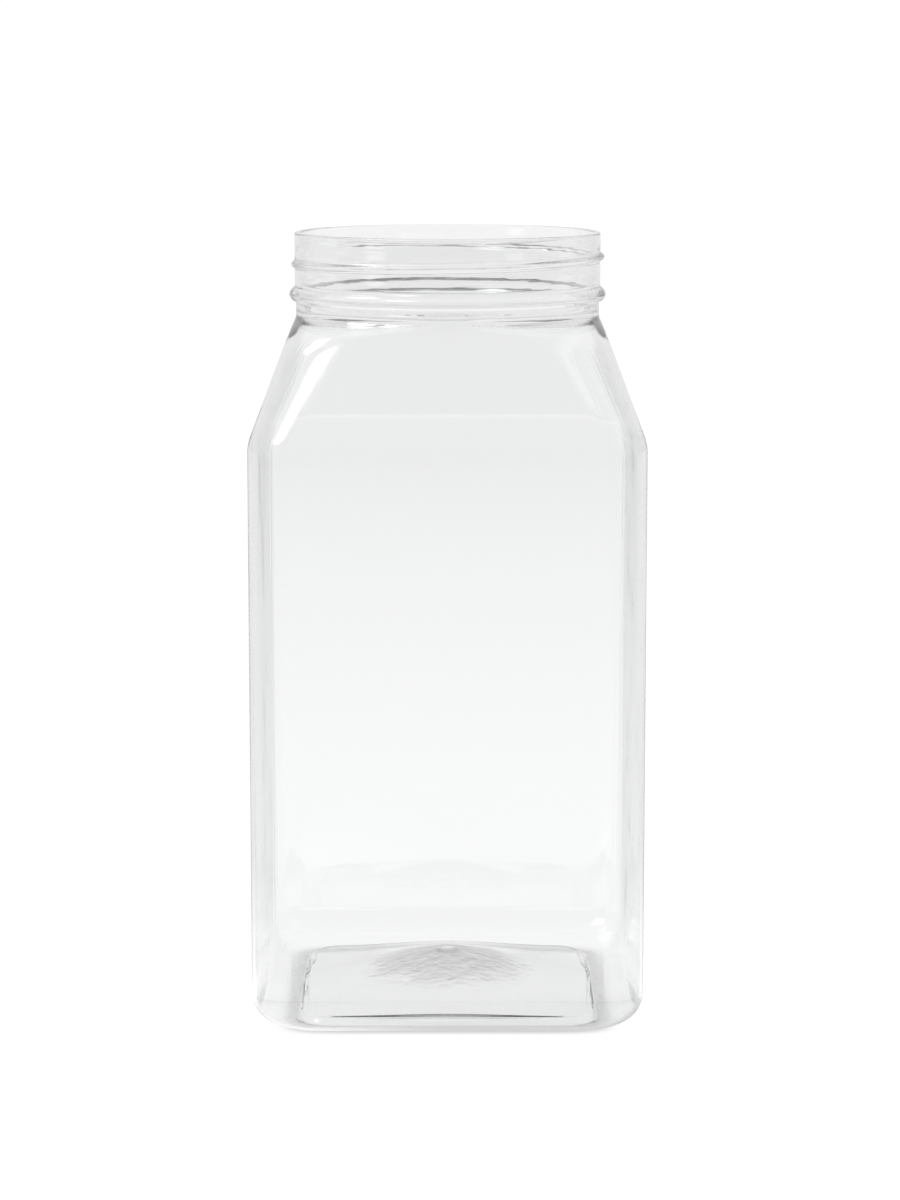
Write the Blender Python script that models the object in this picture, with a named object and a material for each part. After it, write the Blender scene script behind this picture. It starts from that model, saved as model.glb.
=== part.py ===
"""Wide-mouth square jar, one clear plastic moulding, in metres with +Z up.

The jar stands on the XY plane with its axis on +Z.  Its front faces -Y.  The whole object is one
piece of blow-moulded plastic: pushed-up base, square body with round corners, four-sided shoulder,
round neck with a support bead and one turn of a right-hand thread, and an open rim.
"""

import math

import bmesh
import bpy

# ---- driving dimensions -------------------------------------------------------------------------
MM = 0.001

HEIGHT = 220.0 * MM              # standing plane to rim
BODY_WIDTH = 109.0 * MM          # across the flats, outside
BODY_CORNER = 11.0 * MM          # plan radius of the four upright corners
BODY_WALL = 0.8 * MM
SHOULDER_BREAK = 164.5 * MM      # height where body and shoulder would meet without a fillet
BREAK_REACH = 2.2 * MM           # how far the fillet at the break runs along each side

SHOULDER_CORNER = 17.0 * MM      # plan radius of the shoulder's corners near its top
LEDGE_POWER = 16                 # how late the shoulder's corners close in to the round neck
NECK_BASE = 196.0 * MM           # height where shoulder and neck would meet without a fillet
NECK_REACH = 0.9 * MM
FILLET_LAG = 0.24                # a fillet's share of its run at the height FILLET_SHIFT of its reach
FILLET_SHIFT = 0.15
NECK_RADIUS = 42.85 * MM         # below the bead
FINISH_RADIUS = 43.15 * MM       # wall between the bead and the rim, outside
BORE_RADIUS = 41.35 * MM
RIM_ROUND = 0.7 * MM
RIM_STEP = 0.3                   # share of the rim's rounding where its middle facet starts and ends
BORE_ROUND = 0.25 * MM

BEAD_RADIUS = 44.7 * MM
BEAD_HEIGHT = 4.2 * MM
BEAD_DROP = 17.5 * MM            # rim down to the middle of the bead

THREAD_RADIUS = 44.25 * MM       # outside, over the crest
THREAD_PITCH = 4.23 * MM         # six turns to the inch
THREAD_ROOT_WIDTH = 2.4 * MM
THREAD_CREST_WIDTH = 0.8 * MM
THREAD_LEFT_DROP = 9.0 * MM      # rim down to the ridge at the left of the jar
THREAD_START = math.radians(174.0)
THREAD_SWEEP = math.radians(326.0)
THREAD_FADE = math.radians(14.0)
THREAD_SINK = 0.6 * MM           # how deep the ridge's root lies inside the neck wall
THREAD_END_SINK = 0.3 * MM       # how deep the crest lies at the two ends
THREAD_END_WIDTH = 0.6           # share of the root's width left at the two ends

HEEL_RADIUS = 11.5 * MM
RING_WIDTH = 1.0 * MM            # flat ring that the jar stands on
BASE_WALL = 0.7 * MM
PANEL_HALF = 39.4 * MM           # half width of the pushed-up panel, outside
PANEL_CORNER = 7.0 * MM
PANEL_LIFT = 1.9 * MM            # panel corners above the standing plane, outside
PANEL_ARCH = 1.2 * MM            # extra rise of the panel's edge at the middle of each side
PANEL_BOW = 1.5 * MM             # how far the panel's edge bows out at the middle of each side
ARCH_START = 0.3                 # share of the panel's half width where arch and bow begin
FOLD_WIDENING = 2.0 * MM         # how much larger the corners are at the ring than at the panel
DOME_LIFT = 11.2 * MM            # dome centre above the standing plane, outside
DOME_CONE = 0.65                 # share of a straight cone in the dome, the rest is a cosine wave
GATE_WALL = 1.8 * MM             # the middle of the base is thicker than its edge
GATE_ZONE = 32.0 * MM            # radius over which the base thins out from the middle
GATE_RADIUS = 2.2 * MM           # stub left where the plastic entered the mould
GATE_LENGTH = 1.2 * MM
GATE_TIP = 0.8                   # radius of the stub's tip as a share of its root's
GATE_ROOT = 0.1                  # share of the stub's length left above its root's widest place
INNER_SHIFT = 0.5                # outward shift of the base's inside as a share of its wall
FOLD_LINE = 0.5                  # share of a straight line in the fold, the rest is a smooth step

FLAT_STEPS = 10                  # facets along each flat side
CORNER_STEPS = 6                 # facets round each upright corner
HEEL_STEPS = 6
THREAD_STEPS = 72
SHOULDER_STEPS = (0.0, 0.25, 0.5, 0.7, 0.82, 0.89, 0.94)   # shares of the shoulder's run
DOME_STEPS = (0.12, 0.25, 0.4, 0.55, 0.7, 0.85, 1.0)       # shares of the panel's half width
FOLD_STEPS = (0.35, 0.7)                                   # shares of the fold from panel to ring
SMOOTH_ANGLE = math.radians(32.0)

PLASTIC = (0.93, 0.95, 0.94, 1.0)


# ---- sections -----------------------------------------------------------------------------------
def square_reach(angle, half, corner):
    """Distance from the axis to a square with round corners, at an angle from +X."""
    folded = angle % (math.pi / 2)
    folded = min(folded, math.pi / 2 - folded)
    middle = half - corner
    if math.tan(folded) <= middle / half:
        return half / math.cos(folded)
    along = middle * (math.cos(folded) + math.sin(folded))
    return along + math.sqrt(max(along * along - 2 * middle * middle + corner * corner, 0.0))


def section_angles():
    """Angles once round the jar, close together at the four corners of the body."""
    half = BODY_WIDTH / 2
    middle = half - BODY_CORNER
    tangent = math.atan2(middle, half)
    side = [-tangent + 2 * tangent * i / FLAT_STEPS for i in range(FLAT_STEPS)]
    for i in range(CORNER_STEPS):
        turn = (math.pi / 2) * i / CORNER_STEPS
        across = middle + BODY_CORNER * math.cos(turn)
        up = middle + BODY_CORNER * math.sin(turn)
        side.append(math.atan2(up, across))
    return [angle + quarter * math.pi / 2 for quarter in range(4) for angle in side]


ANGLES = section_angles()


def ring(height, reach, corner=None, squareness=1.0, edge_share=0.0):
    """One closed section as (distance, height) pairs, round at squareness 0, square at 1.

    An edge share above 0 adds that share of the panel's arch and bow at the middle of each side.
    """
    corner = reach if corner is None else corner
    section = []
    for angle in ANGLES:
        square = square_reach(angle, reach, corner)
        once = edge_share * math.cos(2 * angle) ** 2
        span = reach + (square - reach) * squareness + PANEL_BOW * once
        section.append((span, height + PANEL_ARCH * once))
    return section


# ---- outside, from the middle of the base up to the rim ---------------------------------------------
def dome_height(share):
    """Height of the underside of the pushed-up base: a cosine-softened cone up to its middle."""
    soft = DOME_CONE * (1 - share) + (1 - DOME_CONE) * 0.5 * (1 + math.cos(math.pi * share))
    return PANEL_LIFT + (DOME_LIFT - PANEL_LIFT) * soft


def smooth_share(value):
    """Smooth step from 0 to 1."""
    value = min(max(value, 0.0), 1.0)
    return value * value * (3 - 2 * value)


def base_rings(shift, lift):
    """Dome and fold from near the middle out to the ring, moved outwards and up, round to square."""
    rings = []
    edge = PANEL_HALF + shift
    stand = BODY_WIDTH / 2 - HEEL_RADIUS - RING_WIDTH + shift
    for share in DOME_STEPS:
        reach = edge * share
        thick = (GATE_WALL - BASE_WALL) * smooth_share(1 - reach / GATE_ZONE) if lift else 0.0
        arch = smooth_share((share - ARCH_START) / (1 - ARCH_START))
        corner = max(PANEL_CORNER, reach * (1 - share))
        rings.append(ring(dome_height(share) + lift + thick, reach, corner, share ** 2, arch))
    for fold in FOLD_STEPS + (1.0,):
        fall = FOLD_LINE * fold + (1 - FOLD_LINE) * smooth_share(fold)
        height = lift + PANEL_LIFT * (1 - fall)
        corner = PANEL_CORNER + FOLD_WIDENING * fold
        rings.append(ring(height, edge + (stand - edge) * fold, corner, 1.0, 1 - smooth_share(fold)))
    return rings


def heel_rings(half, radius, bottom, top_corner):
    """Quarter-round from the standing ring out to the upright wall."""
    rings = []
    for i in range(HEEL_STEPS + 1):
        turn = (math.pi / 2) * i / HEEL_STEPS
        reach = half - radius + radius * math.sin(turn)
        height = bottom + radius - radius * math.cos(turn)
        rings.append(ring(height, reach, top_corner))
    return rings


def shoulder_ring(height, share, half, corner, neck):
    """Section at a share of the shoulder: sides lean straight in, corners close in late."""
    reach = half + (neck - half) * share
    opened = corner + (SHOULDER_CORNER - corner) * share
    return ring(height, reach, opened + (neck - SHOULDER_CORNER) * share ** LEDGE_POWER)


def wall_rings(half, corner, neck):
    """Body wall, shoulder and foot of the neck, with a small fillet at each change of slope."""
    rise = NECK_BASE - SHOULDER_BREAK
    near = BREAK_REACH / rise
    far = NECK_REACH / rise
    places = [(SHOULDER_BREAK - BREAK_REACH, 0.0)]
    places.append((SHOULDER_BREAK - FILLET_SHIFT * BREAK_REACH, FILLET_LAG * near))
    run = 1 - near - far
    start = SHOULDER_BREAK + BREAK_REACH
    places += [(start + rise * run * step, near + run * step) for step in SHOULDER_STEPS]
    places.append((NECK_BASE - NECK_REACH, 1 - far))
    places.append((NECK_BASE + FILLET_SHIFT * NECK_REACH, 1 - FILLET_LAG * far))
    places.append((NECK_BASE + NECK_REACH, 1.0))
    return [shoulder_ring(height, share, half, corner, neck) for height, share in places]


def bead_rings():
    """Half-round support bead below the thread."""
    middle = HEIGHT - BEAD_DROP
    rings = []
    steps = 6
    for i in range(steps + 1):
        turn = math.pi * (i / steps - 0.5)
        foot = NECK_RADIUS if turn < 0 else FINISH_RADIUS
        reach = foot + (BEAD_RADIUS - foot) * math.cos(turn)
        rings.append(ring(middle + 0.5 * BEAD_HEIGHT * math.sin(turn), reach))
    return rings


def outside_rings():
    half = BODY_WIDTH / 2
    gate_top = dome_height(0.0)
    rings = [ring(gate_top - GATE_LENGTH, GATE_TIP * GATE_RADIUS)]
    rings.append(ring(gate_top - GATE_ROOT * GATE_LENGTH, GATE_RADIUS))
    rings += base_rings(0.0, 0.0)
    rings += heel_rings(half, HEEL_RADIUS, 0.0, BODY_CORNER)
    rings += wall_rings(half, BODY_CORNER, NECK_RADIUS)
    rings += bead_rings()
    rings.append(ring(HEIGHT - RIM_ROUND, FINISH_RADIUS))
    rings.append(ring(HEIGHT - RIM_STEP * RIM_ROUND, FINISH_RADIUS - RIM_STEP * RIM_ROUND))
    rings.append(ring(HEIGHT, FINISH_RADIUS - RIM_ROUND))
    return rings


# ---- inside, from the rim down to the middle of the base ----------------------------------------
def inside_rings():
    half = BODY_WIDTH / 2 - BODY_WALL
    corner = BODY_CORNER - BODY_WALL
    rings = [ring(HEIGHT, BORE_RADIUS + BORE_ROUND)]
    rings.append(ring(HEIGHT - BORE_ROUND, BORE_RADIUS))
    rings.append(ring(HEIGHT - BEAD_DROP, BORE_RADIUS))
    rings += reversed(wall_rings(half, corner, BORE_RADIUS))
    rings += reversed(heel_rings(half, HEEL_RADIUS - BODY_WALL, BASE_WALL, corner))
    rings += reversed(base_rings(INNER_SHIFT * BASE_WALL, BASE_WALL))
    return rings


# ---- mesh ---------------------------------------------------------------------------------------
def add_loop(mesh, section):
    """Points of one closed section, in the order of the angles."""
    points = [(span * math.cos(a), span * math.sin(a), z) for (span, z), a in zip(section, ANGLES)]
    return [mesh.verts.new(point) for point in points]


def join_loops(mesh, low, high):
    """A band of four-sided faces between two sections."""
    for i in range(len(low)):
        mesh.faces.new((low[i - 1], low[i], high[i], high[i - 1]))


def cap_loop(mesh, loop, height):
    """Closes a small section with a fan to a point on the axis."""
    tip = mesh.verts.new((0.0, 0.0, height))
    for i in range(len(loop)):
        mesh.faces.new((loop[i - 1], loop[i], tip))


def make_shell():
    """The jar without its thread: a closed loft out of the base, over the rim and back down inside."""
    mesh = bmesh.new()
    outside = outside_rings()
    loops = [add_loop(mesh, section) for section in outside + inside_rings()]
    for low, high in zip(loops, loops[1:]):
        join_loops(mesh, low, high)
    cap_loop(mesh, loops[0], outside[0][0][1])
    cap_loop(mesh, loops[-1], dome_height(0.0) + GATE_WALL)
    bmesh.ops.triangulate(mesh, faces=mesh.faces)
    bmesh.ops.recalc_face_normals(mesh, faces=mesh.faces)
    data = bpy.data.meshes.new("jar_body")
    mesh.to_mesh(data)
    mesh.free()
    return data


def thread_section(mesh, share):
    """Four corners of the ridge at a share of the way along the thread, root inside the neck wall."""
    turned = THREAD_SWEEP * share
    angle = THREAD_START + turned
    fade = min(turned, THREAD_SWEEP - turned) / THREAD_FADE
    ease = math.sin(0.5 * math.pi * min(fade, 1.0))
    rise = THREAD_PITCH * (angle - math.pi) / (2 * math.pi)
    height = HEIGHT - THREAD_LEFT_DROP + rise
    root = FINISH_RADIUS - THREAD_SINK
    crest = FINISH_RADIUS - THREAD_END_SINK
    crest += (THREAD_RADIUS - crest) * ease
    wide = 0.5 * THREAD_ROOT_WIDTH * (THREAD_END_WIDTH + (1 - THREAD_END_WIDTH) * ease)
    narrow = 0.5 * THREAD_CREST_WIDTH
    corners = ((root, -wide), (crest, -narrow), (crest, narrow), (root, wide))
    return [mesh.verts.new((r * math.cos(angle), r * math.sin(angle), height + z)) for r, z in corners]


def make_thread():
    """Right-hand helical ridge, closed at both ends, that fades into the neck wall."""
    mesh = bmesh.new()
    sections = [thread_section(mesh, i / THREAD_STEPS) for i in range(THREAD_STEPS + 1)]
    for here, there in zip(sections, sections[1:]):
        for i in range(4):
            mesh.faces.new((here[i - 1], here[i], there[i], there[i - 1]))
    mesh.faces.new(sections[0])
    mesh.faces.new(sections[-1])
    bmesh.ops.triangulate(mesh, faces=mesh.faces)
    bmesh.ops.recalc_face_normals(mesh, faces=mesh.faces)
    data = bpy.data.meshes.new("thread_ridge")
    mesh.to_mesh(data)
    mesh.free()
    return data


def clear_plastic():
    material = bpy.data.materials.new("clear_plastic")
    material.use_nodes = True
    shader = material.node_tree.nodes["Principled BSDF"]
    shader.inputs["Base Color"].default_value = PLASTIC
    shader.inputs["Metallic"].default_value = 0.0
    shader.inputs["Roughness"].default_value = 0.05
    shader.inputs["Alpha"].default_value = 0.35
    return material


def make_jar():
    """The whole jar, with the thread ridge joined to the neck by a union."""
    jar = bpy.data.objects.new("jar_body", make_shell())
    bpy.context.scene.collection.objects.link(jar)
    ridge = bpy.data.objects.new("thread_ridge", make_thread())
    bpy.context.scene.collection.objects.link(ridge)
    ridge.hide_render = True
    ridge.display_type = "WIRE"
    union = jar.modifiers.new("thread", "BOOLEAN")
    union.operation = "UNION"
    union.solver = "EXACT"
    union.object = ridge
    jar.data.materials.append(clear_plastic())
    jar.data.shade_smooth()
    jar.data.set_sharp_from_angle(angle=SMOOTH_ANGLE)
    return jar


def main():
    for old in list(bpy.data.objects):
        bpy.data.objects.remove(old, do_unlink=True)
    make_jar()


main()
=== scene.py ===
"""Clear square jar with a wide screw neck: fine surface, clear plastic, pale stage and camera.

Lengths are in metres, with +Z up through the mouth and the jar's front facing -Y.  The wall is one
closed surface: a grid whose rows run out from the middle of the underside, up the outside, over the
rim, down the inside and back to the middle of the floor of the jar.
"""

import math

import bpy
import numpy as np
from bpy.props import FloatProperty, FloatVectorProperty, IntProperty, PointerProperty
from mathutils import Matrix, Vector


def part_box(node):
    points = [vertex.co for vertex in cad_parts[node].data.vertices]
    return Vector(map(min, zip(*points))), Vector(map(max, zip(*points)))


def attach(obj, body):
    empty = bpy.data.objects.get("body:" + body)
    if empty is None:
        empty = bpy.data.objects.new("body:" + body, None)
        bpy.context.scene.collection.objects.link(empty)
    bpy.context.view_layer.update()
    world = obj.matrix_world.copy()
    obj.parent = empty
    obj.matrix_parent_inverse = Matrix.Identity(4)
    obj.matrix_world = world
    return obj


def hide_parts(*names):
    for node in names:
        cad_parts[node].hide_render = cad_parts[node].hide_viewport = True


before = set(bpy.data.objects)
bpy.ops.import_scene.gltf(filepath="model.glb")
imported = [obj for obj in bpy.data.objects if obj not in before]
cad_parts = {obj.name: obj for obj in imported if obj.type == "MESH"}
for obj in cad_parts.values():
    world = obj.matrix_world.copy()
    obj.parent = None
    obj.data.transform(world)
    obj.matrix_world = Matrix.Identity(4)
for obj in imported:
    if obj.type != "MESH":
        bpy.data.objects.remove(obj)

bl_info = {
    "name": "Clear Square Jar",
    "version": (1, 0, 0),
    "blender": (4, 5, 0),
    "location": "3D View > Sidebar > Jar",
    "description": "Builds a clear square jar with a screw neck, and a pale stage to look at it on",
    "category": "Add Mesh",
}

MM = 0.001
CAD_NODE = "jar_body"
LOW, HIGH = (Vector(corner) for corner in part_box(CAD_NODE))
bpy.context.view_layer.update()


# ---- sizes and colours --------------------------------------------------------------------------
def length(name, text, value):
    """A length property in metres."""
    return FloatProperty(
        name=name, description=text, default=value, min=0.0, unit="LENGTH", precision=5
    )


def number(name, text, value, low=0.0):
    """A plain number, such as a brightness, a share or a power."""
    return FloatProperty(name=name, description=text, default=value, min=low)


def slider(name, text, value):
    """A number between 0 and 1 that is shown as a slider."""
    return FloatProperty(
        name=name, description=text, default=value, min=0.0, max=1.0, subtype="FACTOR"
    )


def see_through(name, text, value):
    """A colour that light takes on in the wall."""
    return FloatVectorProperty(
        name=name, description=text, subtype="COLOR", size=4, default=(*value, 1.0)
    )


class JarSizes(bpy.types.PropertyGroup):
    """Sizes of the moulding, from the frame where the frame gives them."""

    height: length("Height", "Standing plane to rim", HIGH.z - LOW.z)
    width: length("Width", "Across the flat sides", HIGH.x - LOW.x)
    corner: length("Corner", "Plan radius of the upright corners", 11.0 * MM)
    wall: length("Wall", "Thickness of the body wall", 0.8 * MM)
    break_height: length("Shoulder", "Height where the body turns into the shoulder", 164.5 * MM)
    break_reach: length("Shoulder ease", "Half height of the fillet under the shoulder", 2.2 * MM)
    neck_base: length("Neck base", "Height where the shoulder turns into the neck", 196.0 * MM)
    neck_reach: length("Neck ease", "Half height of the fillet at the neck's foot", 0.9 * MM)
    shoulder_corner: length("Shoulder corner", "Plan radius of its corners at the top", 17.0 * MM)
    ledge_power: number("Ledge power", "How late the corners close in to the neck", 16.0, 1.0)
    neck_radius: length("Neck", "Outer radius under the bead", 42.85 * MM)
    finish_radius: length("Finish", "Outer radius between bead and rim", 43.15 * MM)
    bore: length("Bore", "Inner radius of the neck", 41.35 * MM)
    bead_radius: length("Bead", "Outer radius of the support bead", 44.7 * MM)
    bead_height: length("Bead height", "Height of the support bead", 4.2 * MM)
    bead_drop: length("Bead drop", "Rim down to the middle of the bead", 17.5 * MM)
    rim_round: length("Rim round", "Radius of the rim's outer edge", 0.7 * MM)
    thread_radius: length("Thread", "Outer radius over the thread", 44.25 * MM)
    thread_pitch: length("Pitch", "Rise of the thread in one turn", 4.23 * MM)
    thread_width: length("Ridge", "Height of the thread's ridge at its root", 3.0 * MM)
    thread_drop: length("Thread drop", "Rim down to the ridge at the left of the jar", 9.0 * MM)
    heel: length("Heel", "Radius between the side and the underside", 11.5 * MM)
    ring: length("Ring", "Width of the flat ring that the jar stands on", 1.0 * MM)
    panel: length("Panel", "Half width of the pushed-up panel", 39.4 * MM)
    panel_corner: length("Panel corner", "Plan radius of the panel's corners", 7.0 * MM)
    panel_lift: length("Panel lift", "Height of the panel's edge", 1.9 * MM)
    dome_lift: length("Dome lift", "Height of the middle of the base, underneath", 11.2 * MM)
    base_wall: length("Base wall", "Thickness of the base at its edge", 0.7 * MM)
    arch: length("Arch", "Rise of the panel's edge at the middle of each side", 1.2 * MM)
    bow: length("Bow", "How far the panel's edge bows out at the middle of each side", 1.5 * MM)
    gate_wall: length("Gate wall", "Thickness of the base at its middle", 1.8 * MM)
    gate_zone: length("Gate zone", "Radius of the thick middle of the base", 32.0 * MM)
    follow: number("Follow", "Share of the bead and the thread that shows inside", 0.5)
    gate: length("Gate", "Radius of the stub under the middle of the base", 2.2 * MM)
    stub: length("Stub", "How far the gate's stub stands down", 1.2 * MM)
    columns: IntProperty(
        name="Columns", description="Grid columns along one flat side", default=26, min=8
    )


class JarFinish(bpy.types.PropertyGroup):
    """Colour and surface of the clear plastic."""

    tint: see_through("Tint", "Colour that one wall lets through", (0.958, 0.963, 0.961))
    neck_tint: see_through("Neck tint", "Colour that the neck lets through", (0.938, 0.942, 0.94))
    gate_tint: see_through("Gate tint", "Colour through the base's middle", (0.93, 0.935, 0.932))
    index: number("Index", "Refractive index of the plastic", 1.57, 1.0)
    gloss: slider("Roughness", "Roughness of the clean walls", 0.015)
    haze: slider("Gate haze", "Added roughness of the middle of the base", 0.22)
    scuff: slider("Scuffs", "Added roughness of the worn standing ring", 0.25)
    corner_relief: length("Corner lines", "Depth of the lines up the corners", 0.012 * MM)
    neck_relief: length("Neck rings", "Depth of the rings round the neck", 0.1 * MM)
    wave_relief: length("Waves", "Depth of the slow waves in the wall", 0.03 * MM)
    gate_relief: length("Gate relief", "Depth of the pebbling in the middle of the base", 0.25 * MM)


class StageSettings(bpy.types.PropertyGroup):
    """Floor, surroundings, lamps and camera."""

    floor_radius: length("Floor", "Radius of the round floor", 3.0)
    white: number("White", "Light of the floor and the backdrop as seen", 1.03)
    backdrop_full: number("Backdrop", "Share along +Y from which it is full", 0.95)
    backdrop_edge: number("Backdrop edge", "Share along +Y where it ends", 0.7)
    beside_light: number("Beside", "Light above and beside the backdrop", 0.8)
    # painted shade: under_light is the floor's lower glow under the jar
    under_light: number("Under", "Light of the floor under the jar", 0.9)
    front_light: number("Front", "Light in reflections, camera side", 0.22)
    back_light: number("Back", "Light in reflections, behind the jar", 0.84)
    ceiling_light: number("Ceiling", "Extra light in reflections from above", 0.2)
    high_lamp: number("High lamps", "Light of the two lamps up on the left", 4.0)
    low_lamp: number("Low lamp", "Light of the lamp low on the left", 0.9)
    # painted light of the table in reflections: a pool round the jar, a painted sheen at grazing
    # angles, more light near the jar's foot and a patch on the left
    table_light: number("Table", "Light of the table in reflections", 1.05)
    table_near: length("Table near", "Distance where the table is brightest", 0.2)
    table_far: length("Table far", "Distance where the table's light has faded", 1.6)
    table_left: number("Table left", "Extra light of the table on the left", 0.35)
    painted_sheen_start: number("Sheen start", "One less the sine of the angle where it starts", 0.58)
    painted_sheen_full: number("Sheen full", "One less the sine of the angle where it is full", 0.72)
    foot_light: number("Foot", "Share of the table's light close to the jar, seen steeply", 0.65)
    # painted shade and painted contact shadow on the floor under the jar
    shade_full: length("Shade", "Half width of the full shade under the jar", 45.5 * MM)
    shade_edge: length("Shade edge", "Half width where the shade ends", 50.0 * MM)
    contact: length("Contact", "Half width of the line where the jar stands", 42.5 * MM)
    contact_shade: number("Contact shade", "Share of light lost in that line", 0.32)
    camera_distance: length("Distance", "Camera to the jar's axis, level", 983.5 * MM)
    camera_height: length("Camera height", "Camera above the standing plane", 269.5 * MM)
    camera_side: length("Camera side", "Camera to the right of the axis", 0.7 * MM)
    camera_tilt: FloatProperty(
        name="Tilt", description="Camera below level", default=math.radians(8.94), subtype="ANGLE"
    )
    lens: FloatProperty(
        name="Lens", description="Focal length in millimetres", default=104.2, unit="CAMERA"
    )


# ---- sections of the jar ------------------------------------------------------------------------
POLE_REACH = 1.0 * MM  # of the last row inside, just round the axis
CORNER_STEPS = 18  # grid columns round one upright corner
CONE_SHARE = 0.65  # of the dome's rise that is a straight cone
DOME_FROM, DOME_TO = 0.075, 0.985  # shares of the panel's reach where the dome's rows lie
DOME_ROWS = 40
FOLD_FROM = 0.992  # share of the panel's reach where the fold starts
FOLD_ROWS = 11
FOLD_CORNER = 2 * MM  # added to the corner's radius over the fold
RING_CORNER = 3 * MM  # and on the standing ring
STUB_ROUND = 0.5 * MM
STUB_SHARES = (0.25, 0.6)  # of the stub's radius, where its flat end has rows
RING_SHARES = (0.3, 0.7)  # of the standing ring's width, where it has rows
BORE_ROUND = 0.3 * MM  # of the rim's inner edge
BODY_ROWS, BREAK_ROWS, SHOULDER_ROWS, FOOT_ROWS = 36, 11, 48, 9
SHOULDER_CROWD = 1.8  # power that gathers the shoulder's rows near its top
BEAD_ROWS, BEAD_POWER = 21, 1.6  # rows over the bead, and power of the cosine across it
THREAD_ROWS = 72
THREAD_LOW, THREAD_HIGH = 12.0 * MM, 3.4 * MM  # under the rim, where the fine rows lie
BORE_ROWS = 100
BEAD_INSIDE = 0.7  # half height of the hollow behind the bead, in heights of the bead
THREAD_START, THREAD_SWEEP = math.radians(174.0), math.radians(326.0)
THREAD_FADE = math.radians(14.0)
THREAD_FLANK = 0.85  # share of half the ridge that one flank takes
ARCH_FROM, ARCH_FULL = 0.3, 0.98  # shares of the panel's reach between which the arch grows
ARCH_PAST, ARCH_FADE = 2.2 * MM, 2.0 * MM  # where it ends outside the panel, and over what width


def square_reach(angle, half, corner):
    """Distance from the axis to a square with round corners.

    On a flat side it is half over the cosine of the angle from that side's middle.  On a corner it is
    the far root of the line's meeting with the corner's circle, whose centre is at (half - corner)
    along both axes.
    """
    folded = np.mod(angle, math.pi / 2)
    folded = np.minimum(folded, math.pi / 2 - folded)
    middle = half - corner
    flat = half / np.cos(folded)
    along = middle * (np.cos(folded) + np.sin(folded))
    inside = along * along - 2 * middle * middle + corner * corner
    bent = along + np.sqrt(np.maximum(inside, 0.0))
    return np.where(np.tan(folded) * half <= middle, flat, bent)


def section_angles(sizes):
    """Grid angles once round.

    Along a flat side they are half an even step and half a sine, so they gather at its ends.  On a
    corner they are those of points evenly spaced round the corner's circle.
    """
    half = sizes.width / 2
    middle = half - sizes.corner
    tangent = math.atan2(middle, half)
    even = np.linspace(-1.0, 1.0, sizes.columns + 1)[:-1]
    side = tangent * 0.5 * (even + np.sin(even * math.pi / 2))
    turn = np.linspace(0.0, math.pi / 2, CORNER_STEPS + 1)[:-1]
    bend = np.arctan2(middle + sizes.corner * np.sin(turn), middle + sizes.corner * np.cos(turn))
    quarter = np.concatenate([side, bend])
    return np.concatenate([quarter + k * math.pi / 2 for k in range(4)])


class Profile:
    """Rows of the wall, gathered in order as (height, reach, corner, squareness, round radius)."""

    def __init__(self):
        self.parts = []

    def add(self, height, reach, corner=None, square=1.0, round_to=None):
        """Adds a run of rows, with any value given as a number spread over the run."""
        corner = reach if corner is None else corner
        round_to = reach if round_to is None else round_to
        values = (np.atleast_1d(v) for v in (height, reach, corner, square, round_to))
        self.parts.append(np.stack(np.broadcast_arrays(*values), axis=1).astype(float))

    def rows(self):
        """All rows as one array with five columns."""
        return np.concatenate(self.parts)


def share_steps(count, ends=True):
    """Even steps from 0 to 1, without the last one if the next run starts there."""
    return np.linspace(0.0, 1.0, count, endpoint=ends)


def dome_height(share, edge, centre):
    """Height of the pushed-up base: partly a cone and partly half a cosine wave, edge to middle."""
    wave = 0.5 * (1 + np.cos(math.pi * share))
    return edge + (centre - edge) * (CONE_SHARE * (1 - share) + (1 - CONE_SHARE) * wave)


def smooth(share):
    """Smooth step: three squares less two cubes."""
    return share * share * (3 - 2 * share)


def base_rows(sizes, shift, lift):
    """Dome and fold, from near the middle out to the ring, as (height, reach, corner, squareness).

    The dome's sections turn from round to square as the square of their share of the reach.  The fold
    drops from the panel's edge to the ring as half a straight line and half a smooth step.
    """
    share = np.linspace(DOME_FROM, DOME_TO, DOME_ROWS)
    fold = share_steps(FOLD_ROWS)
    edge = sizes.panel + shift
    stand = sizes.width / 2 - sizes.heel - sizes.ring + shift
    start = dome_height(DOME_TO, sizes.panel_lift, sizes.dome_lift)
    drop = start * (1 - fold * (0.5 + fold * (1.5 - fold)))
    height = np.concatenate([dome_height(share, sizes.panel_lift, sizes.dome_lift), drop]) + lift
    reach = edge * share
    corner = np.maximum(sizes.panel_corner, reach * (1 - share))
    reach = np.concatenate([reach, FOLD_FROM * edge + (stand - FOLD_FROM * edge) * fold])
    corner = np.concatenate([corner, sizes.panel_corner + FOLD_CORNER * fold])
    return height, reach, corner, np.concatenate([share**2, np.ones(FOLD_ROWS)])


def add_underside(profile, sizes):
    """Gate stub, dome, panel edge and standing ring, from the middle outwards."""
    foot = dome_height(0.0, sizes.panel_lift, sizes.dome_lift) - sizes.stub
    turn = share_steps(6) * math.pi / 2
    profile.add(foot, sizes.gate * np.array(STUB_SHARES))
    reach = sizes.gate - STUB_ROUND + STUB_ROUND * np.sin(turn)
    profile.add(foot + STUB_ROUND * (1 - np.cos(turn)), reach)
    profile.add(*base_rows(sizes, 0.0, 0.0))
    stand = sizes.width / 2 - sizes.heel - sizes.ring
    reach = stand + sizes.ring * np.array(RING_SHARES)
    profile.add(0.0, reach, sizes.panel_corner + RING_CORNER)


def heel_rows(half, radius, bottom, corner, count=15):
    """Quarter circle from the ring out to the side, as (height, reach, corner)."""
    turn = share_steps(count) * math.pi / 2
    return bottom + radius * (1 - np.cos(turn)), half - radius * (1 - np.sin(turn)), corner


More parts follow.
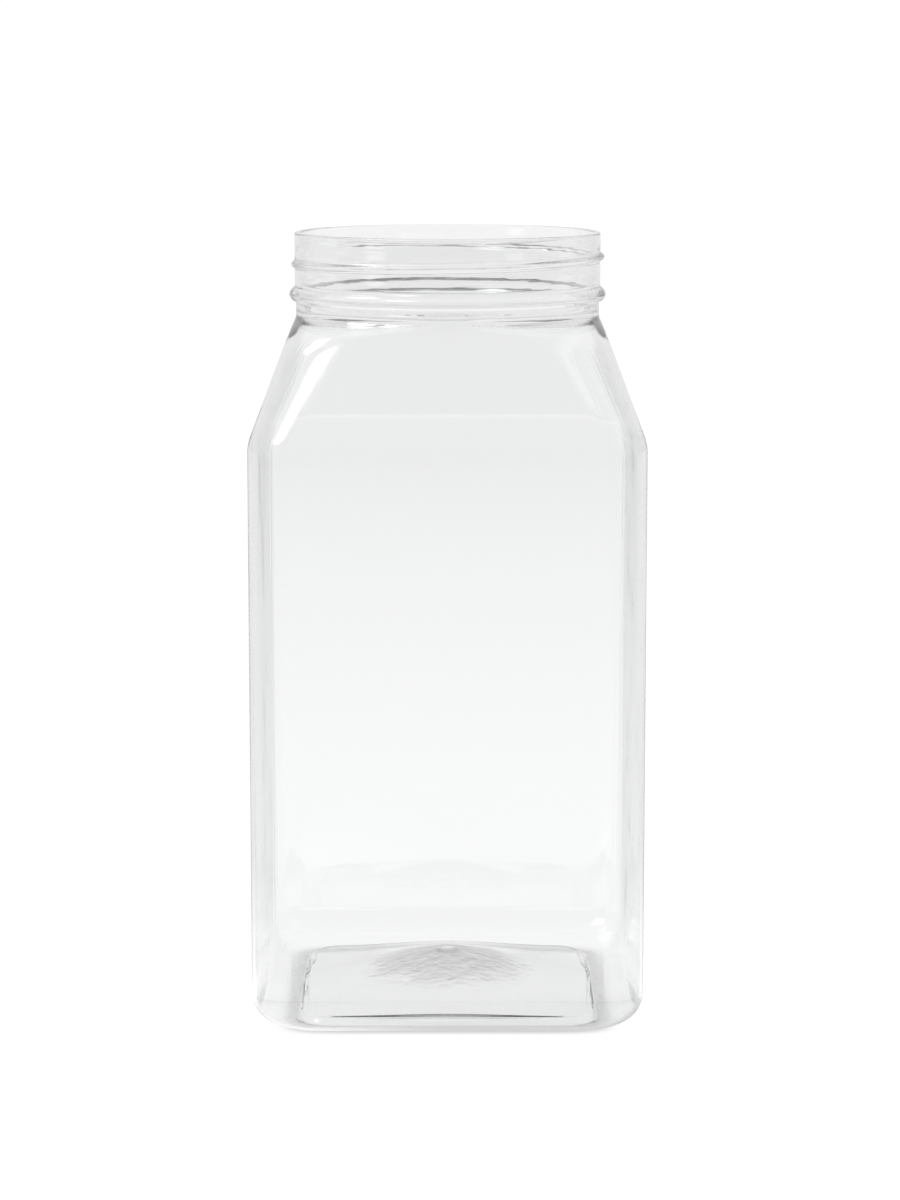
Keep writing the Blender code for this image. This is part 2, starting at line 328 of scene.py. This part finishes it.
def side_rows(sizes, half, corner, radius, foot):
    """Body wall, shoulder and foot of the neck as rows that run upwards.

    The shoulder's sides lean in along straight lines.  Its corners open out a little on the way up,
    and then close in to the round neck as a high power of the height, which leaves a ledge at each
    corner.  Each change of slope is a parabola that meets the straight runs on both sides.
    """
    rise = sizes.neck_base - sizes.break_height
    low, high = sizes.break_reach, sizes.neck_reach
    bottom, top = sizes.break_height + low, sizes.neck_base - high
    even = share_steps(BODY_ROWS, ends=False)
    bend = np.linspace(-low, low, BREAK_ROWS)[:-1]
    crowded = 1 - (1 - share_steps(SHOULDER_ROWS, ends=False)) ** SHOULDER_CROWD
    lean = bottom + (top - bottom) * crowded
    turn = np.linspace(-high, high, FOOT_ROWS)
    runs = (
        (foot + (sizes.break_height - low - foot) * even, np.zeros(BODY_ROWS)),
        (sizes.break_height + bend, (bend + low) ** 2 / (4 * low * rise)),
        (lean, (lean - sizes.break_height) / rise),
        (sizes.neck_base + turn, 1 - (high - turn) ** 2 / (4 * high * rise)),
    )
    height, share = (np.concatenate(column) for column in zip(*runs))
    reach = half + (radius - half) * share
    opened = corner + (sizes.shoulder_corner - corner) * share
    closing = (radius - sizes.shoulder_corner) * share**sizes.ledge_power
    return height, reach, opened + closing


def add_outside(profile, sizes):
    """Heel, side, shoulder, neck, bead, thread wall and the outer edge of the rim.

    The bead's profile is a power of the cosine across it, on the wall below it and above it.
    """
    half = sizes.width / 2
    profile.add(*heel_rows(half, sizes.heel, 0.0, sizes.corner))
    height, reach, corner = side_rows(sizes, half, sizes.corner, sizes.neck_radius, sizes.heel)
    profile.add(height[1:], reach[1:], corner[1:])
    bead = sizes.height - sizes.bead_drop
    turn = math.pi * (share_steps(BEAD_ROWS) - 0.5)
    foot = np.where(turn < 0, sizes.neck_radius, sizes.finish_radius)
    proud = (sizes.bead_radius - foot) * np.cos(turn) ** BEAD_POWER
    profile.add(bead + 0.5 * sizes.bead_height * np.sin(turn), foot + proud)
    low = sizes.height - THREAD_LOW
    high = sizes.height - THREAD_HIGH
    profile.add(np.linspace(bead + 0.55 * sizes.bead_height, low, 6)[:-1], sizes.finish_radius)
    profile.add(np.linspace(low, high, THREAD_ROWS), sizes.finish_radius)
    top = sizes.height - sizes.rim_round
    profile.add(np.linspace(high, top, 5)[1:-1], sizes.finish_radius)
    turn = share_steps(7) * math.pi / 2
    edge = sizes.rim_round
    profile.add(top + edge * np.sin(turn), sizes.finish_radius - edge * (1 - np.cos(turn)))


def add_inside(profile, sizes):
    """Rim land, bore, and the inside of the shoulder, body, heel, ring and dome, going down.

    The bore is hollowed behind the bead by a squared cosine, and the base thickens towards its middle
    as a smooth step.
    """
    turn = share_steps(5) * math.pi / 2
    reach = sizes.bore + BORE_ROUND * (1 - np.sin(turn))
    profile.add(sizes.height - BORE_ROUND * (1 - np.cos(turn)), reach)
    height = np.linspace(sizes.height - MM, sizes.neck_base + 2 * MM, BORE_ROWS)
    above = height - sizes.height + sizes.bead_drop
    across = np.clip(above / (BEAD_INSIDE * sizes.bead_height), -1.0, 1.0)
    proud = sizes.bead_radius - sizes.finish_radius
    hollow = sizes.follow * proud * np.cos(across * math.pi / 2) ** 2
    profile.add(height, sizes.bore + hollow)
    half = sizes.width / 2 - sizes.wall
    corner = sizes.corner - sizes.wall
    heel = sizes.heel - sizes.wall
    foot = sizes.base_wall + heel
    height, reach, corner_run = side_rows(sizes, half, corner, sizes.bore, foot)
    profile.add(height[:0:-1], reach[:0:-1], corner_run[:0:-1])
    height, reach, corner_run = heel_rows(half, heel, sizes.base_wall, corner)
    profile.add(height[::-1], reach[::-1], corner_run)
    shift = 0.5 * sizes.base_wall
    height, reach, corner, square = base_rows(sizes, shift, sizes.base_wall)
    near = np.clip(1 - reach / sizes.gate_zone, 0.0, 1.0)
    height = height + (sizes.gate_wall - sizes.base_wall) * smooth(near)
    profile.add(height[::-1], reach[::-1], corner[::-1], square[::-1])
    profile.add(height[0], POLE_REACH)


def thread_proud(sizes, angle, height):
    """How far the thread stands out of the neck wall.

    The ridge's middle climbs by the pitch in each turn.  Across the ridge the profile is flat on top
    and falls to nothing as half a cosine wave; along it, both ends fade in as a quarter sine wave.
    """
    turned = np.mod(angle - THREAD_START, 2 * math.pi)
    ends = np.clip(np.minimum(turned, THREAD_SWEEP - turned) / THREAD_FADE, 0.0, 1.0)
    climb = sizes.thread_pitch * (turned + THREAD_START - math.pi) / (2 * math.pi)
    middle = sizes.height - sizes.thread_drop + climb
    off = np.abs(height - middle) / (0.5 * sizes.thread_width)
    across = np.clip((1 - off) / THREAD_FLANK, 0.0, 1.0)
    ridge = 0.5 * (1 - np.cos(math.pi * across))
    return (sizes.thread_radius - sizes.finish_radius) * ridge * np.sin(ends * math.pi / 2)


def panel_arch(sizes, angle, height, reach):
    """Rise and outward bow of the base's panel, as (height to add, reach to add).

    Both are largest at the panel's edge in the middle of each side.  They follow the square of the
    cosine of twice the angle once round, and fall off as smooth steps towards the middle and the ring.
    """
    grown = (reach / sizes.panel - ARCH_FROM) / (ARCH_FULL - ARCH_FROM)
    left = (sizes.panel + ARCH_PAST - reach) / ARCH_FADE
    low = height < sizes.dome_lift + sizes.gate_wall + MM
    weight = smooth(np.clip(grown, 0.0, 1.0)) * smooth(np.clip(left, 0.0, 1.0)) * low
    once = np.cos(2 * angle) ** 2 * weight
    return sizes.arch * once, sizes.bow * once


def wall_points(sizes):
    """Grid of points on the whole surface.

    Each row is a section at one height.  Along each grid angle its distance from the axis is that of a
    circle, moved towards that of a square with round corners by the row's squareness, with the thread
    and the panel's bow added.
    """
    profile = Profile()
    add_underside(profile, sizes)
    add_outside(profile, sizes)
    outside_rows = len(profile.rows())
    add_inside(profile, sizes)
    rows = profile.rows()[:, None, :]
    angle = section_angles(sizes)[None, :]
    height, reach, corner, square, radius = (rows[..., k] for k in range(5))
    flat = square_reach(angle, reach, corner)
    span = radius + (flat - radius) * square
    share = np.where(np.arange(len(rows)) < outside_rows, 1.0, sizes.follow)[:, None]
    span = span + share * thread_proud(sizes, angle, height)
    rise, spread = panel_arch(sizes, angle, height, reach)
    span = span + spread
    return np.stack([span * np.cos(angle), span * np.sin(angle), height + rise], axis=2)


# ---- mesh ---------------------------------------------------------------------------------------
def closed_grid(name, points):
    """Mesh of a grid that closes on itself sideways and ends in a fan at each pole."""
    rows, around = points.shape[:2]
    verts = np.concatenate([points.reshape(-1, 3), points[[0, -1]].mean(axis=1)])
    row = np.arange(rows - 1)[:, None] * around
    here = np.arange(around)[None, :]
    there = (here + 1) % around
    quads = np.stack([row + here, row + there, row + around + there, row + around + here], axis=2)
    here, there = here[0], there[0]
    last = (rows - 1) * around
    first_fan = np.stack([there, here, np.full(around, rows * around)], axis=1)
    last_fan = np.stack([last + here, last + there, np.full(around, rows * around + 1)], axis=1)
    faces = quads.reshape(-1, 4).tolist() + first_fan.tolist() + last_fan.tolist()
    mesh = bpy.data.meshes.new(name)
    mesh.from_pydata(verts.tolist(), [], faces)
    mesh.validate()
    mesh.shade_smooth()
    return mesh


def put(name, mesh, material):
    """Object at the origin with one material."""
    piece = bpy.data.objects.new(name, mesh)
    piece.data.materials.append(material)
    bpy.context.scene.collection.objects.link(piece)
    return piece


# ---- material -----------------------------------------------------------------------------------
CORNER_ZONE = (32 * MM, 44 * MM)  # off both middle planes, where the corners' lines fade in
WEDGE_ZONE = (22 * MM, 34 * MM)  # the same on the shoulder
SHOULDER_ZONE = (160 * MM, 190 * MM)  # heights over which the second zone takes over
CORNER_CYCLES = (90.0, 9.0)  # in a radian round the jar, and in a metre up it
RING_ZONE = (190 * MM, 197 * MM)  # heights over which the rings round the neck fade in
RING_CYCLES = (1.6, 260.0)
RING_PLACE = 3.0  # keeps the rings' noise apart from the lines'
WAVE_CYCLES = 38.0  # in a metre
GATE_HEIGHTS = (16 * MM, 22 * MM)  # where the gate's mottling fades out upwards
GATE_REACH = (13 * MM, 29 * MM)  # and outwards
GATE_RAGGED, GATE_RAGGED_CYCLES = 14 * MM, 110.0  # how uneven its edge is, and in what cycles
PEBBLE_CYCLES = 260.0
SCRATCH_CYCLES = 900.0
SCRATCH_RANGE = (-0.1, 0.2, 0.2, 1.0)  # noise from and to, and share of the scuffing from and to
SCUFF_HEIGHTS = (0.1 * MM, 0.9 * MM)
THICK_HEIGHTS = (190 * MM, 198 * MM)  # where the wall thickens into the neck


def add_node(tree, kind, **values):
    """New node with its properties set by name."""
    node = tree.nodes.new("ShaderNode" + kind)
    for name, value in values.items():
        setattr(node, name, value)
    return node


def feed(tree, socket, value):
    """Sets a socket to a number or links another socket to it."""
    if isinstance(value, (int, float)):
        socket.default_value = value
    else:
        tree.links.new(value, socket)


def math_node(tree, operation, *inputs):
    """Math node fed by numbers or sockets; gives its output."""
    node = add_node(tree, "Math", operation=operation)
    for socket, value in zip(node.inputs, inputs):
        feed(tree, socket, value)
    return node.outputs[0]


def product(tree, *values):
    """Product of numbers and sockets, taken in order."""
    total = values[0]
    for value in values[1:]:
        total = math_node(tree, "MULTIPLY", total, value)
    return total


def fade(tree, value, start, stop, low=0.0, high=1.0, shape="SMOOTHSTEP"):
    """Smooth step of a value between two places, from one number to another."""
    step = add_node(tree, "MapRange", interpolation_type=shape)
    for name, limit in zip(("From Min", "From Max", "To Min", "To Max"), (start, stop, low, high)):
        feed(tree, step.inputs[name], limit)
    feed(tree, step.inputs["Value"], value)
    return step.outputs[0]


def noise(tree, across, along, up, detail=2.0):
    """Noise from three coordinates in cycles, centred on nothing."""
    place = add_node(tree, "CombineXYZ")
    for socket, value in zip(place.inputs, (across, along, up)):
        feed(tree, socket, value)
    cloud = add_node(tree, "TexNoise")
    feed(tree, cloud.inputs["Scale"], 1.0)
    feed(tree, cloud.inputs["Detail"], detail)
    tree.links.new(place.outputs[0], cloud.inputs["Vector"])
    return math_node(tree, "SUBTRACT", cloud.outputs[0], 0.5)


class Place:
    """Where a point of the jar is: its coordinates, distance from the axis and turn round it."""

    def __init__(self, tree):
        split = add_node(tree, "SeparateXYZ")
        tree.links.new(add_node(tree, "TexCoord").outputs["Object"], split.inputs[0])
        self.x, self.y, self.z = split.outputs
        across = math_node(tree, "MULTIPLY", self.x, self.x)
        self.reach = math_node(tree, "SQRT", math_node(tree, "MULTIPLY_ADD", self.y, self.y, across))
        self.turn = math_node(tree, "ARCTAN2", self.y, self.x)

    def noise(self, tree, cycles, detail):
        """Noise at the point, with so many cycles in a metre."""
        return noise(tree, *(product(tree, v, cycles) for v in (self.x, self.y, self.z)), detail)


def flow_lines(tree, place, finish):
    """Relief in metres: lines up the corners, rings round the neck and slow waves in the wall."""
    near = math_node(tree, "MINIMUM", *(math_node(tree, "ABSOLUTE", v) for v in (place.x, place.y)))
    wedge = product(tree, fade(tree, place.z, *SHOULDER_ZONE), fade(tree, near, *WEDGE_ZONE))
    corner = math_node(tree, "MAXIMUM", fade(tree, near, *CORNER_ZONE), wedge)
    round_it, up_it = (product(tree, v, n) for v, n in zip((place.turn, place.z), CORNER_CYCLES))
    lines = product(tree, noise(tree, round_it, 0.0, up_it), corner, finish.corner_relief)
    round_it, up_it = (product(tree, v, n) for v, n in zip((place.turn, place.z), RING_CYCLES))
    neck = fade(tree, place.z, *RING_ZONE)
    rings = product(tree, noise(tree, round_it, RING_PLACE, up_it), neck, finish.neck_relief)
    waves = product(tree, place.noise(tree, WAVE_CYCLES, 1.0), finish.wave_relief)
    return math_node(tree, "ADD", math_node(tree, "ADD", lines, rings), waves)


def gate_zone(tree, place, finish):
    """Crystallised middle of the base, as (mask, relief in metres)."""
    low = fade(tree, place.z, *GATE_HEIGHTS, 1.0, 0.0)
    ragged = place.noise(tree, GATE_RAGGED_CYCLES, 4.0)
    edge = math_node(tree, "MULTIPLY_ADD", ragged, GATE_RAGGED, place.reach)
    mask = product(tree, fade(tree, edge, *GATE_REACH, 1.0, 0.0), low)
    return mask, product(tree, place.noise(tree, PEBBLE_CYCLES, 3.0), mask, finish.gate_relief)


def worn_ring(tree, place):
    """Share of the scuffing: only at the very bottom, and broken up by fine scratches."""
    across = (product(tree, v, SCRATCH_CYCLES) for v in (place.x, place.y))
    scratch = noise(tree, *across, 0.0, 4.0)
    low = fade(tree, place.z, *SCUFF_HEIGHTS, 1.0, 0.0)
    return product(tree, low, fade(tree, scratch, *SCRATCH_RANGE))


def mixed_colour(tree, factor, plain, other):
    """Mix of two colours, each given as a colour or a socket."""
    mix = add_node(tree, "Mix", data_type="RGBA")
    tree.links.new(factor, mix.inputs[0])
    for name, colour in (("A", plain), ("B", other)):
        if isinstance(colour, bpy.types.NodeSocket):
            tree.links.new(colour, mix.inputs[name])
        else:
            mix.inputs[name].default_value = colour
    return mix.outputs["Result"]


def clear_plastic(finish):
    """Clear glossy plastic, with a hazy middle of the base, a scuffed ring and moulding lines."""
    material = bpy.data.materials.new("clear_plastic")
    material.use_nodes = True
    tree = material.node_tree
    shader = tree.nodes["Principled BSDF"]
    place = Place(tree)
    mask, pebbles = gate_zone(tree, place, finish)
    relief = math_node(tree, "ADD", flow_lines(tree, place, finish), pebbles)
    bump = add_node(tree, "Bump")
    feed(tree, bump.inputs["Strength"], 1.0)
    feed(tree, bump.inputs["Distance"], 1.0)
    feed(tree, bump.inputs["Height"], relief)
    tree.links.new(bump.outputs[0], shader.inputs["Normal"])
    rough = math_node(tree, "MULTIPLY_ADD", mask, finish.haze, finish.gloss)
    rough = math_node(tree, "MULTIPLY_ADD", worn_ring(tree, place), finish.scuff, rough)
    tree.links.new(rough, shader.inputs["Roughness"])
    neck = fade(tree, place.z, *THICK_HEIGHTS)
    colour = mixed_colour(tree, neck, finish.tint, finish.neck_tint)
    colour = mixed_colour(tree, mask, colour, finish.gate_tint)
    tree.links.new(colour, shader.inputs["Base Color"])
    shader.inputs["IOR"].default_value = finish.index
    shader.inputs["Transmission Weight"].default_value = 1.0
    return material


# ---- the jar's operator -------------------------------------------------------------------------
class JAR_OT_wall(bpy.types.Operator):
    """Build the jar's moulding in its clear plastic"""

    bl_idname = "jar.wall"
    bl_label = "Jar wall"

    def execute(self, context):
        scene = context.scene
        mesh = closed_grid("jar_wall", wall_points(scene.jar_sizes))
        jar = put("jar_wall", mesh, clear_plastic(scene.jar_finish))
        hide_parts(CAD_NODE)
        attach(jar, "root")
        return {"FINISHED"}


# ---- stage --------------------------------------------------------------------------------------
ROOM_POWER = 1.1  # of the rise from the dim side of the room to its light side
LAMPS = (  # direction, half angles where it is full and where it ends, and the setting of its light
    ((-0.57, 0.11, 0.80), 0.10, 0.20, "high_lamp"),
    ((-0.485, -0.53, 0.70), 0.12, 0.26, "high_lamp"),
    ((-0.82, -0.55, -0.12), 0.08, 0.20, "low_lamp"),
)
# painted light of the table in reflections: brighter near the jar's foot when seen steeply, and a
# painted pool of light to the left
FOOT_ZONE = (0.08, 0.1)  # metres from the axis over which the steeply seen table dims
FOOT_LEFT = 0.1  # share of its light that is left beyond them
BEHIND_ZONE = (0.0, 0.15)  # metres along +Y over which the table turns as light as the room's back
LEFT_PLACE = (-0.075, -0.05, 0.0)  # middle of the lighter patch of the table
LEFT_ZONE = (0.02, 0.08)  # metres from it over which the patch fades
FLOOR_DROP = 0.2 * MM  # under the standing plane
FLOOR_SIDES = 128
LIGHT_BOUNCES = 32  # enough for light to cross both walls of the neck, bead and thread


def unit_of(tree, vector):
    """Vector brought to a length of one."""
    unit = add_node(tree, "VectorMath", operation="NORMALIZE")
    tree.links.new(vector, unit.inputs[0])
    return unit.outputs["Vector"]


def parts_of(tree, vector):
    """The three coordinates of a vector."""
    split = add_node(tree, "SeparateXYZ")
    tree.links.new(vector, split.inputs[0])
    return split.outputs


def lamp_patch(tree, unit, aim, inner, outer, light):
    """Round soft patch of light: full inside one angle from its aim, and nothing outside another."""
    facing = add_node(tree, "VectorMath", operation="DOT_PRODUCT")
    tree.links.new(unit, facing.inputs[0])
    facing.inputs[1].default_value = Vector(aim).normalized()
    return fade(tree, facing.outputs["Value"], math.cos(outer), math.cos(inner), 0.0, light)


def room_light(tree, vector, stage):
    """Brightness that reflections meet: dim on the camera's side, light behind the jar, and lamps.

    The rise from dim to light is a power of half of one plus the direction's share along +Y.
    """
    unit = unit_of(tree, vector)
    _, ahead, up = parts_of(tree, unit)
    behind = math_node(tree, "MULTIPLY_ADD", ahead, 0.5, 0.5)
    behind = math_node(tree, "POWER", behind, ROOM_POWER)
    rise = stage.back_light - stage.front_light
    light = math_node(tree, "MULTIPLY_ADD", behind, rise, stage.front_light)
    above = product(tree, math_node(tree, "MAXIMUM", up, 0.0), stage.ceiling_light)
    light = math_node(tree, "ADD", light, above)
    for aim, inner, outer, setting in LAMPS:
        lamp = lamp_patch(tree, unit, aim, inner, outer, getattr(stage, setting))
        light = math_node(tree, "ADD", light, lamp)
    return light


def mirrored_ray(tree):
    """1 for light that has been mirrored on its way, and 0 for light that only passed through walls."""
    path = add_node(tree, "LightPath")
    return math_node(tree, "GREATER_THAN", path.outputs["Glossy Depth"], 0.5)


def choose(tree, factor, plain, other):
    """Mix of two numbers or sockets by a factor."""
    mix = add_node(tree, "Mix")
    tree.links.new(factor, mix.inputs[0])
    feed(tree, mix.inputs[2], plain)
    feed(tree, mix.inputs[3], other)
    return mix.outputs[0]


def square_distance(tree, x, y):
    """Distance out from the middle of a square with round corners.

    It is the tenth root of the sum of the two coordinates' tenth powers.
    """
    powers = [math_node(tree, "POWER", product(tree, v, v), 5.0) for v in (x, y)]
    return math_node(tree, "POWER", math_node(tree, "ADD", *powers), 0.1)


def table_as_seen(tree, x, y, stage):
    """Light of the table seen straight on or through the walls.

    It has a painted shade under the jar, and a thin painted contact shadow where the jar stands.
    """
    out = square_distance(tree, x, y)
    line = stage.contact
    # painted shade: the glowing floor is dimmer under the jar's footprint
    light = fade(tree, out, stage.shade_full, stage.shade_edge, stage.under_light, stage.white)
    # painted contact shadow: a thin darker line along the standing ring
    inside = fade(tree, out, line - 2 * MM, line, 0.0, stage.contact_shade)
    outside = fade(tree, out, line + MM, line + 5 * MM, 1.0, 0.0)
    contact_shadow = product(tree, inside, outside)
    return product(tree, light, math_node(tree, "SUBTRACT", 1.0, contact_shadow))


def table_in_reflections(tree, place, y, stage):
    """Painted light of the table met by mirrored rays: more near the jar, at grazing angles and behind
    it.
    """
    distance = add_node(tree, "VectorMath", operation="LENGTH")
    tree.links.new(place, distance.inputs[0])
    distance = distance.outputs["Value"]
    ends = (stage.table_near, stage.table_far, stage.table_light, stage.front_light)
    near = fade(tree, distance, *ends, "LINEAR")
    grazing = add_node(tree, "LayerWeight").outputs["Facing"]
    # painted sheen: the floor's glow rises at grazing angles, standing in for a glossy table's
    # reflection
    painted_sheen = fade(tree, grazing, stage.painted_sheen_start, stage.painted_sheen_full)
    foot = fade(tree, distance, *FOOT_ZONE, stage.foot_light, FOOT_LEFT)
    front = product(tree, near, math_node(tree, "MAXIMUM", painted_sheen, foot))
    aside = add_node(tree, "VectorMath", operation="DISTANCE")
    tree.links.new(place, aside.inputs[0])
    aside.inputs[1].default_value = LEFT_PLACE
    # painted pool of light on the table to the left of the jar, seen only in reflections
    painted_left_light = fade(tree, aside.outputs["Value"], *LEFT_ZONE, stage.table_left, 0.0)
    front = math_node(tree, "ADD", front, painted_left_light)
    return choose(tree, fade(tree, y, *BEHIND_ZONE), front, stage.back_light)


def floor_material(stage):
    """White table that gives its own light, one way as seen and another way in reflections."""
    material = bpy.data.materials.new("pale_floor")
    material.use_nodes = True
    tree = material.node_tree
    tree.nodes.clear()
    place = add_node(tree, "TexCoord").outputs["Object"]
    x, y, _ = parts_of(tree, place)
    seen = table_as_seen(tree, x, y, stage)
    mirrored = table_in_reflections(tree, place, y, stage)
    glow = add_node(tree, "Emission")
    tree.links.new(choose(tree, mirrored_ray(tree), seen, mirrored), glow.inputs["Strength"])
    out = add_node(tree, "OutputMaterial")
    tree.links.new(glow.outputs[0], out.inputs["Surface"])
    return material


def make_floor(stage):
    """Round flat floor: points evenly spaced on a circle."""
    angle = np.linspace(0.0, 2 * math.pi, FLOOR_SIDES + 1)[:-1]
    reach = stage.floor_radius
    drop = np.full(FLOOR_SIDES, -FLOOR_DROP)
    verts = np.stack([reach * np.cos(angle), reach * np.sin(angle), drop], axis=1)
    mesh = bpy.data.meshes.new("floor")
    mesh.from_pydata(verts.tolist(), [], [list(range(FLOOR_SIDES))])
    put("floor", mesh, floor_material(stage))


def backdrop_light(tree, vector, stage):
    """Brightness met straight on and through the walls: a white backdrop, dimmer beside it."""
    ahead = parts_of(tree, unit_of(tree, vector))[1]
    ends = (stage.backdrop_edge, stage.backdrop_full, stage.beside_light, stage.white)
    return fade(tree, ahead, *ends)


def make_world(stage):
    """White surroundings straight on and through the walls, and the room's light in reflections."""
    world = bpy.data.worlds.new("studio")
    bpy.context.scene.world = world
    world.use_nodes = True
    tree = world.node_tree
    direction = add_node(tree, "TexCoord").outputs["Generated"]
    plain = backdrop_light(tree, direction, stage)
    light = choose(tree, mirrored_ray(tree), plain, room_light(tree, direction, stage))
    tree.links.new(light, tree.nodes["Background"].inputs["Strength"])
    tree.nodes["Background"].inputs["Color"].default_value = (1.0, 1.0, 1.0, 1.0)


def make_camera(stage):
    """Camera in front of the jar, looking slightly down."""
    data = bpy.data.cameras.new("camera")
    data.lens = stage.lens
    camera = bpy.data.objects.new("camera", data)
    camera.location = (stage.camera_side, -stage.camera_distance, stage.camera_height)
    camera.rotation_euler = (math.pi / 2 - stage.camera_tilt, 0.0, 0.0)
    bpy.context.scene.collection.objects.link(camera)
    bpy.context.scene.camera = camera


class JAR_OT_stage(bpy.types.Operator):
    """Set up the floor, the surroundings and the camera"""

    bl_idname = "jar.stage"
    bl_label = "Stage"

    def execute(self, context):
        scene = context.scene
        stage = scene.jar_stage
        make_floor(stage)
        make_world(stage)
        make_camera(stage)
        scene.view_settings.view_transform = "Standard"
        scene.cycles.max_bounces = LIGHT_BOUNCES
        scene.cycles.transmission_bounces = LIGHT_BOUNCES
        scene.cycles.glossy_bounces = LIGHT_BOUNCES
        return {"FINISHED"}


# ---- panel and registration ---------------------------------------------------------------------
class JAR_PT_panel(bpy.types.Panel):
    """Lists the jar's sizes, finish, stage and the buttons that build them"""

    bl_idname = "JAR_PT_panel"
    bl_label = "Clear square jar"
    bl_space_type = "VIEW_3D"
    bl_region_type = "UI"
    bl_category = "Jar"

    def draw(self, context):
        scene = context.scene
        for group in (scene.jar_sizes, scene.jar_finish, scene.jar_stage):
            box = self.layout.box()
            for name in group.bl_rna.properties.keys():
                if name not in {"rna_type", "name"}:
                    box.prop(group, name)
        self.layout.operator(JAR_OT_wall.bl_idname)
        self.layout.operator(JAR_OT_stage.bl_idname)


CLASSES = (JarSizes, JarFinish, StageSettings, JAR_OT_wall, JAR_OT_stage, JAR_PT_panel)


def register():
    """Registers the classes and hangs the settings on the scene."""
    for item in CLASSES:
        bpy.utils.register_class(item)
    bpy.types.Scene.jar_sizes = PointerProperty(type=JarSizes)
    bpy.types.Scene.jar_finish = PointerProperty(type=JarFinish)
    bpy.types.Scene.jar_stage = PointerProperty(type=StageSettings)


def unregister():
    """Takes the settings and the classes away again."""
    del bpy.types.Scene.jar_sizes
    del bpy.types.Scene.jar_finish
    del bpy.types.Scene.jar_stage
    for item in reversed(CLASSES):
        bpy.utils.unregister_class(item)


def main():
    """Builds the jar and its stage."""
    register()
    bpy.ops.jar.wall()
    bpy.ops.jar.stage()


if __name__ == "__main__":
    main()
